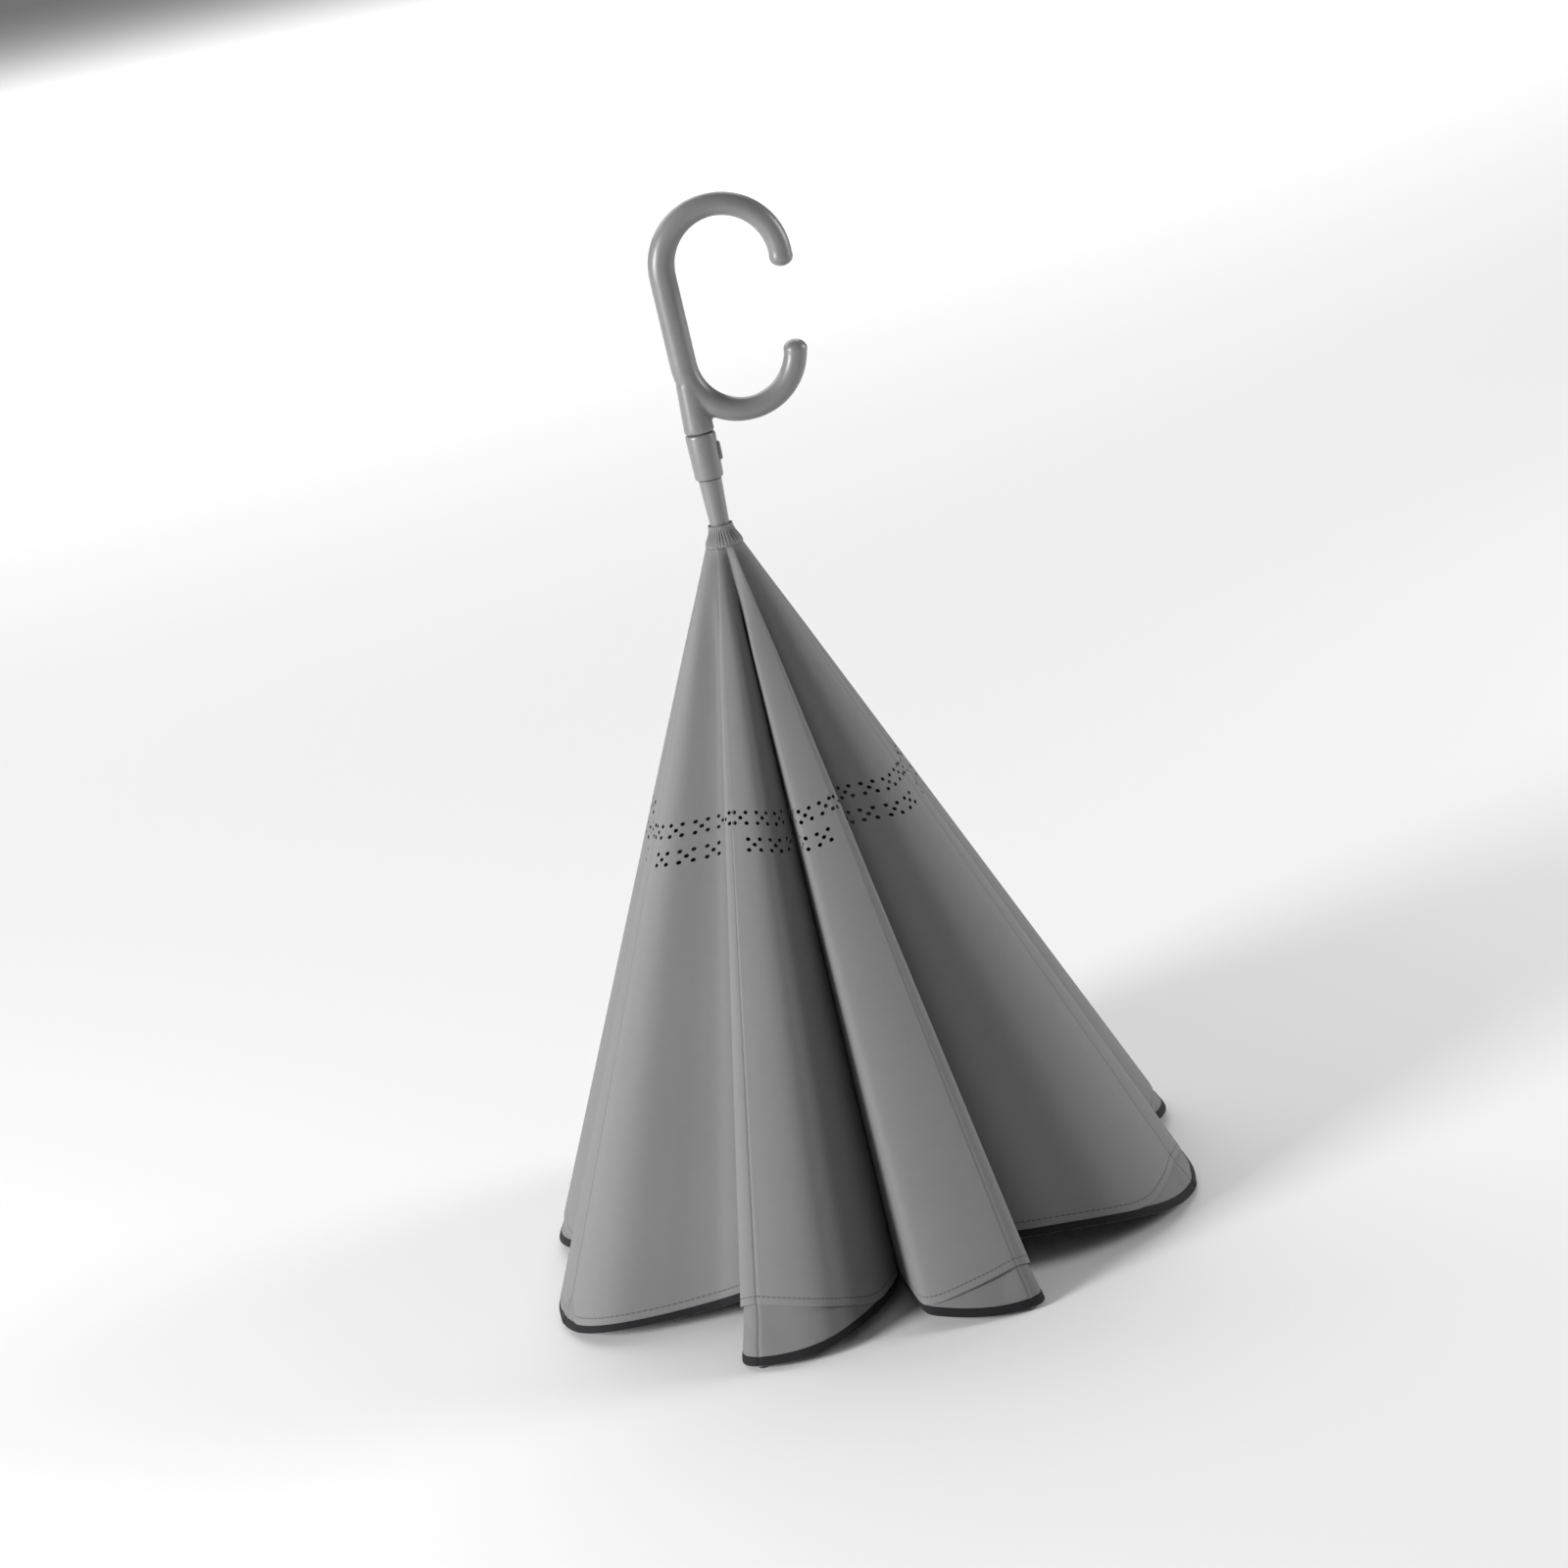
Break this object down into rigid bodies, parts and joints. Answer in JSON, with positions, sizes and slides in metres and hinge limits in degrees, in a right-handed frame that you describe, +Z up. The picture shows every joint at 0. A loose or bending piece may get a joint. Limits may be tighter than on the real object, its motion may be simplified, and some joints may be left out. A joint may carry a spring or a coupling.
{
  "type": "inverted umbrella",
  "caption": "Closed inverted umbrella with a C-shaped hook handle, sliding runner, hinged ribs and stretchers, and a two-layer cloth canopy in folds.",
  "frame": {"origin": "on the shaft's axis, in the plane that the rib tips stand on", "axes": "+Z up along the shaft towards the handle; +X towards the side the C handle opens to"},
  "size_m": [0.4452, 0.4449, 0.7342],
  "materials": {
    "grip_plastic": "satin",
    "shaft_metal": "satin",
    "dark_plastic": "matte",
    "rib_fibreglass": "satin",
    "stretcher_metal": "satin",
    "canopy_cloth": "matte woven cloth",
    "inner_cloth": "matte woven cloth"
  },
  "bodies": {
    "shaft": {"handle": "grip_plastic", "button_housing": "grip_plastic", "shaft_tube": "shaft_metal", "top_notch": "dark_plastic", "ferrule": "grip_plastic", "inner_canopy": "inner_cloth"},
    "runner": {"runner_sleeve": "grip_plastic", "fabric_collar": "canopy_cloth"},
    "button": {"release_button": "grip_plastic"},
    "rib_1": {"rib_1": "rib_fibreglass"},
    "stretcher_1": {"stretcher_1": "stretcher_metal"},
    "panel_1_left": {"canopy_panel_1_left": "canopy_cloth"},
    "pleat_1_left": {"canopy_pleat_1_left": "canopy_cloth"},
    "panel_1_right": {"canopy_panel_1_right": "canopy_cloth"},
    "pleat_1_right": {"canopy_pleat_1_right": "canopy_cloth"},
    "rib_2": {"rib_2": "rib_fibreglass"},
    "stretcher_2": {"stretcher_2": "stretcher_metal"},
    "panel_2_left": {"canopy_panel_2_left": "canopy_cloth"},
    "pleat_2_left": {"canopy_pleat_2_left": "canopy_cloth"},
    "panel_2_right": {"canopy_panel_2_right": "canopy_cloth"},
    "pleat_2_right": {"canopy_pleat_2_right": "canopy_cloth"},
    "rib_3": {"rib_3": "rib_fibreglass"},
    "stretcher_3": {"stretcher_3": "stretcher_metal"},
    "panel_3_left": {"canopy_panel_3_left": "canopy_cloth"},
    "pleat_3_left": {"canopy_pleat_3_left": "canopy_cloth"},
    "panel_3_right": {"canopy_panel_3_right": "canopy_cloth"},
    "pleat_3_right": {"canopy_pleat_3_right": "canopy_cloth"},
    "rib_4": {"rib_4": "rib_fibreglass"},
    "stretcher_4": {"stretcher_4": "stretcher_metal"},
    "panel_4_left": {"canopy_panel_4_left": "canopy_cloth"},
    "pleat_4_left": {"canopy_pleat_4_left": "canopy_cloth"},
    "panel_4_right": {"canopy_panel_4_right": "canopy_cloth"},
    "pleat_4_right": {"canopy_pleat_4_right": "canopy_cloth"},
    "rib_5": {"rib_5": "rib_fibreglass"},
    "stretcher_5": {"stretcher_5": "stretcher_metal"},
    "panel_5_left": {"canopy_panel_5_left": "canopy_cloth"},
    "pleat_5_left": {"canopy_pleat_5_left": "canopy_cloth"},
    "panel_5_right": {"canopy_panel_5_right": "canopy_cloth"},
    "pleat_5_right": {"canopy_pleat_5_right": "canopy_cloth"},
    "rib_6": {"rib_6": "rib_fibreglass"},
    "stretcher_6": {"stretcher_6": "stretcher_metal"},
    "panel_6_left": {"canopy_panel_6_left": "canopy_cloth"},
    "pleat_6_left": {"canopy_pleat_6_left": "canopy_cloth"},
    "panel_6_right": {"canopy_panel_6_right": "canopy_cloth"},
    "pleat_6_right": {"canopy_pleat_6_right": "canopy_cloth"},
    "rib_7": {"rib_7": "rib_fibreglass"},
    "stretcher_7": {"stretcher_7": "stretcher_metal"},
    "panel_7_left": {"canopy_panel_7_left": "canopy_cloth"},
    "pleat_7_left": {"canopy_pleat_7_left": "canopy_cloth"},
    "panel_7_right": {"canopy_panel_7_right": "canopy_cloth"},
    "pleat_7_right": {"canopy_pleat_7_right": "canopy_cloth"},
    "rib_8": {"rib_8": "rib_fibreglass"},
    "stretcher_8": {"stretcher_8": "stretcher_metal"},
    "panel_8_left": {"canopy_panel_8_left": "canopy_cloth"},
    "pleat_8_left": {"canopy_pleat_8_left": "canopy_cloth"},
    "panel_8_right": {"canopy_panel_8_right": "canopy_cloth"},
    "pleat_8_right": {"canopy_pleat_8_right": "canopy_cloth"}
  },
  "joints": [
    {"name": "runner_slide", "type": "slide", "parent": "shaft", "child": "runner", "axis": [0, 0, -1], "range_m": [0, 0.42831], "deforming": ["canopy_pleat_1_left", "canopy_pleat_1_right", "canopy_pleat_2_left", "canopy_pleat_2_right", "canopy_pleat_3_left", "canopy_pleat_3_right", "canopy_pleat_4_left", "canopy_pleat_4_right", "canopy_pleat_5_left", "canopy_pleat_5_right", "canopy_pleat_6_left", "canopy_pleat_6_right", "canopy_pleat_7_left", "canopy_pleat_7_right", "canopy_pleat_8_left", "canopy_pleat_8_right", "inner_canopy"]},
    {"name": "button_press", "type": "slide", "parent": "shaft", "child": "button", "axis": [-1, 0, 0], "range_m": [0, 0.0014], "stiffness_N_per_m": 400},
    {"name": "rib_1_hinge", "type": "hinge", "parent": "runner", "child": "rib_1", "pos_m": [0.00878, 0.00364, 0.49987], "axis": [0.3827, -0.9239, 0], "range_deg": [0, 80.4]},
    {"name": "stretcher_1_hinge", "type": "hinge", "parent": "rib_1", "child": "stretcher_1", "pos_m": [0.1014, 0.042, 0.27081], "axis": [-0.3827, 0.9239, 0], "range_deg": [0, 124.43]},
    {"name": "panel_1_left_fold", "type": "hinge", "parent": "rib_1", "child": "panel_1_left", "pos_m": [0.01177, 0.00487, 0.50135], "axis": [0.3846, 0.1593, -0.9092], "range_deg": [0, 29.12]},
    {"name": "pleat_1_left_fold", "type": "hinge", "parent": "panel_1_left", "child": "pleat_1_left", "pos_m": [0.00905, 0.00773, 0.5007], "axis": [0.2932, 0.2505, -0.9226], "range_deg": [0, 80.69]},
    {"name": "panel_1_right_fold", "type": "hinge", "parent": "rib_1", "child": "panel_1_right", "pos_m": [0.01177, 0.00487, 0.50135], "axis": [-0.3846, -0.1593, 0.9092], "range_deg": [0, 29.12]},
    {"name": "pleat_1_right_fold", "type": "hinge", "parent": "panel_1_right", "child": "pleat_1_right", "pos_m": [0.01186, 0.00112, 0.50073], "axis": [-0.3846, -0.0365, 0.9224], "range_deg": [0, 79.87]},
    {"name": "rib_2_hinge", "type": "hinge", "parent": "runner", "child": "rib_2", "pos_m": [0.00364, 0.00878, 0.49987], "axis": [0.9239, -0.3827, 0], "range_deg": [0, 80.4]},
    {"name": "stretcher_2_hinge", "type": "hinge", "parent": "rib_2", "child": "stretcher_2", "pos_m": [0.042, 0.1014, 0.27081], "axis": [-0.9239, 0.3827, 0], "range_deg": [0, 124.43]},
    {"name": "panel_2_left_fold", "type": "hinge", "parent": "rib_2", "child": "panel_2_left", "pos_m": [0.00487, 0.01177, 0.50135], "axis": [0.1593, 0.3846, -0.9092], "range_deg": [0, 29.12]},
    {"name": "pleat_2_left_fold", "type": "hinge", "parent": "panel_2_left", "child": "pleat_2_left", "pos_m": [0.00093, 0.01186, 0.5007], "axis": [0.0302, 0.3845, -0.9226], "range_deg": [0, 80.69]},
    {"name": "panel_2_right_fold", "type": "hinge", "parent": "rib_2", "child": "panel_2_right", "pos_m": [0.00487, 0.01177, 0.50135], "axis": [-0.1593, -0.3846, 0.9092], "range_deg": [0, 29.12]},
    {"name": "pleat_2_right_fold", "type": "hinge", "parent": "panel_2_right", "child": "pleat_2_right", "pos_m": [0.00759, 0.00918, 0.50073], "axis": [-0.2462, -0.2977, 0.9224], "range_deg": [0, 79.87]},
    {"name": "rib_3_hinge", "type": "hinge", "parent": "runner", "child": "rib_3", "pos_m": [-0.00364, 0.00878, 0.49987], "axis": [0.9239, 0.3827, 0], "range_deg": [0, 80.4]},
    {"name": "stretcher_3_hinge", "type": "hinge", "parent": "rib_3", "child": "stretcher_3", "pos_m": [-0.042, 0.1014, 0.27081], "axis": [-0.9239, -0.3827, 0], "range_deg": [0, 124.43]},
    {"name": "panel_3_left_fold", "type": "hinge", "parent": "rib_3", "child": "panel_3_left", "pos_m": [-0.00487, 0.01177, 0.50135], "axis": [-0.1593, 0.3846, -0.9092], "range_deg": [0, 29.12]},
    {"name": "pleat_3_left_fold", "type": "hinge", "parent": "panel_3_left", "child": "pleat_3_left", "pos_m": [-0.00773, 0.00905, 0.5007], "axis": [-0.2505, 0.2932, -0.9226], "range_deg": [0, 80.69]},
    {"name": "panel_3_right_fold", "type": "hinge", "parent": "rib_3", "child": "panel_3_right", "pos_m": [-0.00487, 0.01177, 0.50135], "axis": [0.1593, -0.3846, 0.9092], "range_deg": [0, 29.12]},
    {"name": "pleat_3_right_fold", "type": "hinge", "parent": "panel_3_right", "child": "pleat_3_right", "pos_m": [-0.00112, 0.01186, 0.50073], "axis": [0.0365, -0.3846, 0.9224], "range_deg": [0, 79.87]},
    {"name": "rib_4_hinge", "type": "hinge", "parent": "runner", "child": "rib_4", "pos_m": [-0.00878, 0.00364, 0.49987], "axis": [0.3827, 0.9239, 0], "range_deg": [0, 80.4]},
    {"name": "stretcher_4_hinge", "type": "hinge", "parent": "rib_4", "child": "stretcher_4", "pos_m": [-0.1014, 0.042, 0.27081], "axis": [-0.3827, -0.9239, 0], "range_deg": [0, 124.43]},
    {"name": "panel_4_left_fold", "type": "hinge", "parent": "rib_4", "child": "panel_4_left", "pos_m": [-0.01177, 0.00487, 0.50135], "axis": [-0.3846, 0.1593, -0.9092], "range_deg": [0, 29.12]},
    {"name": "pleat_4_left_fold", "type": "hinge", "parent": "panel_4_left", "child": "pleat_4_left", "pos_m": [-0.01186, 0.00093, 0.5007], "axis": [-0.3845, 0.0302, -0.9226], "range_deg": [0, 80.69]},
    {"name": "panel_4_right_fold", "type": "hinge", "parent": "rib_4", "child": "panel_4_right", "pos_m": [-0.01177, 0.00487, 0.50135], "axis": [0.3846, -0.1593, 0.9092], "range_deg": [0, 29.12]},
    {"name": "pleat_4_right_fold", "type": "hinge", "parent": "panel_4_right", "child": "pleat_4_right", "pos_m": [-0.00918, 0.00759, 0.50073], "axis": [0.2977, -0.2462, 0.9224], "range_deg": [0, 79.87]},
    {"name": "rib_5_hinge", "type": "hinge", "parent": "runner", "child": "rib_5", "pos_m": [-0.00878, -0.00364, 0.49987], "axis": [-0.3827, 0.9239, 0], "range_deg": [0, 80.4]},
    {"name": "stretcher_5_hinge", "type": "hinge", "parent": "rib_5", "child": "stretcher_5", "pos_m": [-0.1014, -0.042, 0.27081], "axis": [0.3827, -0.9239, 0], "range_deg": [0, 124.43]},
    {"name": "panel_5_left_fold", "type": "hinge", "parent": "rib_5", "child": "panel_5_left", "pos_m": [-0.01177, -0.00487, 0.50135], "axis": [-0.3846, -0.1593, -0.9092], "range_deg": [0, 31.12]},
    {"name": "pleat_5_left_fold", "type": "hinge", "parent": "panel_5_left", "child": "pleat_5_left", "pos_m": [-0.00602, -0.01053, 0.49991], "axis": [-0.1901, -0.3323, -0.9238], "range_deg": [0, 98.76]},
    {"name": "panel_5_right_fold", "type": "hinge", "parent": "rib_5", "child": "panel_5_right", "pos_m": [-0.01177, -0.00487, 0.50135], "axis": [0.3846, 0.1593, 0.9092], "range_deg": [0, 29.12]},
    {"name": "pleat_5_right_fold", "type": "hinge", "parent": "panel_5_right", "child": "pleat_5_right", "pos_m": [-0.01186, -0.00112, 0.50073], "axis": [0.3846, 0.0365, 0.9224], "range_deg": [0, 79.87]},
    {"name": "rib_6_hinge", "type": "hinge", "parent": "runner", "child": "rib_6", "pos_m": [-0.00364, -0.00878, 0.49987], "axis": [-0.9239, 0.3827, 0], "range_deg": [0, 80.4]},
    {"name": "stretcher_6_hinge", "type": "hinge", "parent": "rib_6", "child": "stretcher_6", "pos_m": [-0.042, -0.1014, 0.27081], "axis": [0.9239, -0.3827, 0], "range_deg": [0, 124.43]},
    {"name": "panel_6_left_fold", "type": "hinge", "parent": "rib_6", "child": "panel_6_left", "pos_m": [-0.00487, -0.01177, 0.50135], "axis": [-0.1593, -0.3846, -0.9092], "range_deg": [0, 40.12]},
    {"name": "pleat_6_left_fold", "type": "hinge", "parent": "panel_6_left", "child": "pleat_6_left", "pos_m": [0.00046, -0.01092, 0.50006], "axis": [0.0149, -0.3512, -0.9362], "range_deg": [0, 78.01]},
    {"name": "panel_6_right_fold", "type": "hinge", "parent": "rib_6", "child": "panel_6_right", "pos_m": [-0.00487, -0.01177, 0.50135], "axis": [0.1593, 0.3846, 0.9092], "range_deg": [0, 29.12]},
    {"name": "pleat_6_right_fold", "type": "hinge", "parent": "panel_6_right", "child": "pleat_6_right", "pos_m": [-0.00557, -0.0111, 0.50119], "axis": [0.182, 0.3627, 0.914], "range_deg": [0, 70.26]},
    {"name": "rib_7_hinge", "type": "hinge", "parent": "runner", "child": "rib_7", "pos_m": [0.00364, -0.00878, 0.49987], "axis": [-0.9239, -0.3827, 0], "range_deg": [0, 80.4]},
    {"name": "stretcher_7_hinge", "type": "hinge", "parent": "rib_7", "child": "stretcher_7", "pos_m": [0.042, -0.1014, 0.27081], "axis": [0.9239, 0.3827, 0], "range_deg": [0, 124.43]},
    {"name": "panel_7_left_fold", "type": "hinge", "parent": "rib_7", "child": "panel_7_left", "pos_m": [0.00487, -0.01177, 0.50135], "axis": [0.1593, -0.3846, -0.9092], "range_deg": [0, 29.12]},
    {"name": "pleat_7_left_fold", "type": "hinge", "parent": "panel_7_left", "child": "pleat_7_left", "pos_m": [0.00543, -0.01124, 0.50123], "axis": [0.1775, -0.3671, -0.9131], "range_deg": [0, 69.18]},
    {"name": "panel_7_right_fold", "type": "hinge", "parent": "rib_7", "child": "panel_7_right", "pos_m": [0.00487, -0.01177, 0.50135], "axis": [-0.1593, 0.3846, 0.9092], "range_deg": [0, 29.12]},
    {"name": "pleat_7_right_fold", "type": "hinge", "parent": "panel_7_right", "child": "pleat_7_right", "pos_m": [0.00122, -0.01186, 0.50075], "axis": [-0.0396, 0.3847, 0.9222], "range_deg": [0, 81.84]},
    {"name": "rib_8_hinge", "type": "hinge", "parent": "runner", "child": "rib_8", "pos_m": [0.00878, -0.00364, 0.49987], "axis": [-0.3827, -0.9239, 0], "range_deg": [0, 80.4]},
    {"name": "stretcher_8_hinge", "type": "hinge", "parent": "rib_8", "child": "stretcher_8", "pos_m": [0.1014, -0.042, 0.27081], "axis": [0.3827, 0.9239, 0], "range_deg": [0, 124.43]},
    {"name": "panel_8_left_fold", "type": "hinge", "parent": "rib_8", "child": "panel_8_left", "pos_m": [0.01177, -0.00487, 0.50135], "axis": [0.3846, -0.1593, -0.9092], "range_deg": [0, 29.12]},
    {"name": "pleat_8_left_fold", "type": "hinge", "parent": "panel_8_left", "child": "pleat_8_left", "pos_m": [0.01186, -0.00093, 0.5007], "axis": [0.3845, -0.0302, -0.9226], "range_deg": [0, 80.69]},
    {"name": "panel_8_right_fold", "type": "hinge", "parent": "rib_8", "child": "panel_8_right", "pos_m": [0.01177, -0.00487, 0.50135], "axis": [-0.3846, 0.1593, 0.9092], "range_deg": [0, 31.12]},
    {"name": "pleat_8_right_fold", "type": "hinge", "parent": "panel_8_right", "child": "pleat_8_right", "pos_m": [0.00602, -0.01053, 0.49991], "axis": [-0.1901, 0.3323, 0.9238], "range_deg": [0, 98.39]}
  ],
  "couplings": [
    {"joint": "rib_1_hinge", "follows": "runner_slide", "rad_per_m": 3.2762},
    {"joint": "stretcher_1_hinge", "follows": "runner_slide", "rad_per_m": 5.0703},
    {"joint": "panel_1_left_fold", "follows": "runner_slide", "rad_per_m": 1.1866},
    {"joint": "pleat_1_left_fold", "follows": "runner_slide", "rad_per_m": 3.2883},
    {"joint": "panel_1_right_fold", "follows": "runner_slide", "rad_per_m": 1.1866},
    {"joint": "pleat_1_right_fold", "follows": "runner_slide", "rad_per_m": 3.2546},
    {"joint": "rib_2_hinge", "follows": "runner_slide", "rad_per_m": 3.2762},
    {"joint": "stretcher_2_hinge", "follows": "runner_slide", "rad_per_m": 5.0703},
    {"joint": "panel_2_left_fold", "follows": "runner_slide", "rad_per_m": 1.1866},
    {"joint": "pleat_2_left_fold", "follows": "runner_slide", "rad_per_m": 3.2883},
    {"joint": "panel_2_right_fold", "follows": "runner_slide", "rad_per_m": 1.1866},
    {"joint": "pleat_2_right_fold", "follows": "runner_slide", "rad_per_m": 3.2546},
    {"joint": "rib_3_hinge", "follows": "runner_slide", "rad_per_m": 3.2762},
    {"joint": "stretcher_3_hinge", "follows": "runner_slide", "rad_per_m": 5.0703},
    {"joint": "panel_3_left_fold", "follows": "runner_slide", "rad_per_m": 1.1866},
    {"joint": "pleat_3_left_fold", "follows": "runner_slide", "rad_per_m": 3.2883},
    {"joint": "panel_3_right_fold", "follows": "runner_slide", "rad_per_m": 1.1866},
    {"joint": "pleat_3_right_fold", "follows": "runner_slide", "rad_per_m": 3.2546},
    {"joint": "rib_4_hinge", "follows": "runner_slide", "rad_per_m": 3.2762},
    {"joint": "stretcher_4_hinge", "follows": "runner_slide", "rad_per_m": 5.0703},
    {"joint": "panel_4_left_fold", "follows": "runner_slide", "rad_per_m": 1.1866},
    {"joint": "pleat_4_left_fold", "follows": "runner_slide", "rad_per_m": 3.2883},
    {"joint": "panel_4_right_fold", "follows": "runner_slide", "rad_per_m": 1.1866},
    {"joint": "pleat_4_right_fold", "follows": "runner_slide", "rad_per_m": 3.2546},
    {"joint": "rib_5_hinge", "follows": "runner_slide", "rad_per_m": 3.2762},
    {"joint": "stretcher_5_hinge", "follows": "runner_slide", "rad_per_m": 5.0703},
    {"joint": "panel_5_left_fold", "follows": "runner_slide", "rad_per_m": 1.2681},
    {"joint": "pleat_5_left_fold", "follows": "runner_slide", "rad_per_m": 4.0243},
    {"joint": "panel_5_right_fold", "follows": "runner_slide", "rad_per_m": 1.1866},
    {"joint": "pleat_5_right_fold", "follows": "runner_slide", "rad_per_m": 3.2546},
    {"joint": "rib_6_hinge", "follows": "runner_slide", "rad_per_m": 3.2762},
    {"joint": "stretcher_6_hinge", "follows": "runner_slide", "rad_per_m": 5.0703},
    {"joint": "panel_6_left_fold", "follows": "runner_slide", "rad_per_m": 1.6348},
    {"joint": "pleat_6_left_fold", "follows": "runner_slide", "rad_per_m": 3.1787},
    {"joint": "panel_6_right_fold", "follows": "runner_slide", "rad_per_m": 1.1866},
    {"joint": "pleat_6_right_fold", "follows": "runner_slide", "rad_per_m": 2.863},
    {"joint": "rib_7_hinge", "follows": "runner_slide", "rad_per_m": 3.2762},
    {"joint": "stretcher_7_hinge", "follows": "runner_slide", "rad_per_m": 5.0703},
    {"joint": "panel_7_left_fold", "follows": "runner_slide", "rad_per_m": 1.1866},
    {"joint": "pleat_7_left_fold", "follows": "runner_slide", "rad_per_m": 2.819},
    {"joint": "panel_7_right_fold", "follows": "runner_slide", "rad_per_m": 1.1866},
    {"joint": "pleat_7_right_fold", "follows": "runner_slide", "rad_per_m": 3.3349},
    {"joint": "rib_8_hinge", "follows": "runner_slide", "rad_per_m": 3.2762},
    {"joint": "stretcher_8_hinge", "follows": "runner_slide", "rad_per_m": 5.0703},
    {"joint": "panel_8_left_fold", "follows": "runner_slide", "rad_per_m": 1.1866},
    {"joint": "pleat_8_left_fold", "follows": "runner_slide", "rad_per_m": 3.2883},
    {"joint": "panel_8_right_fold", "follows": "runner_slide", "rad_per_m": 1.2681},
    {"joint": "pleat_8_right_fold", "follows": "runner_slide", "rad_per_m": 4.0095}
  ]
}
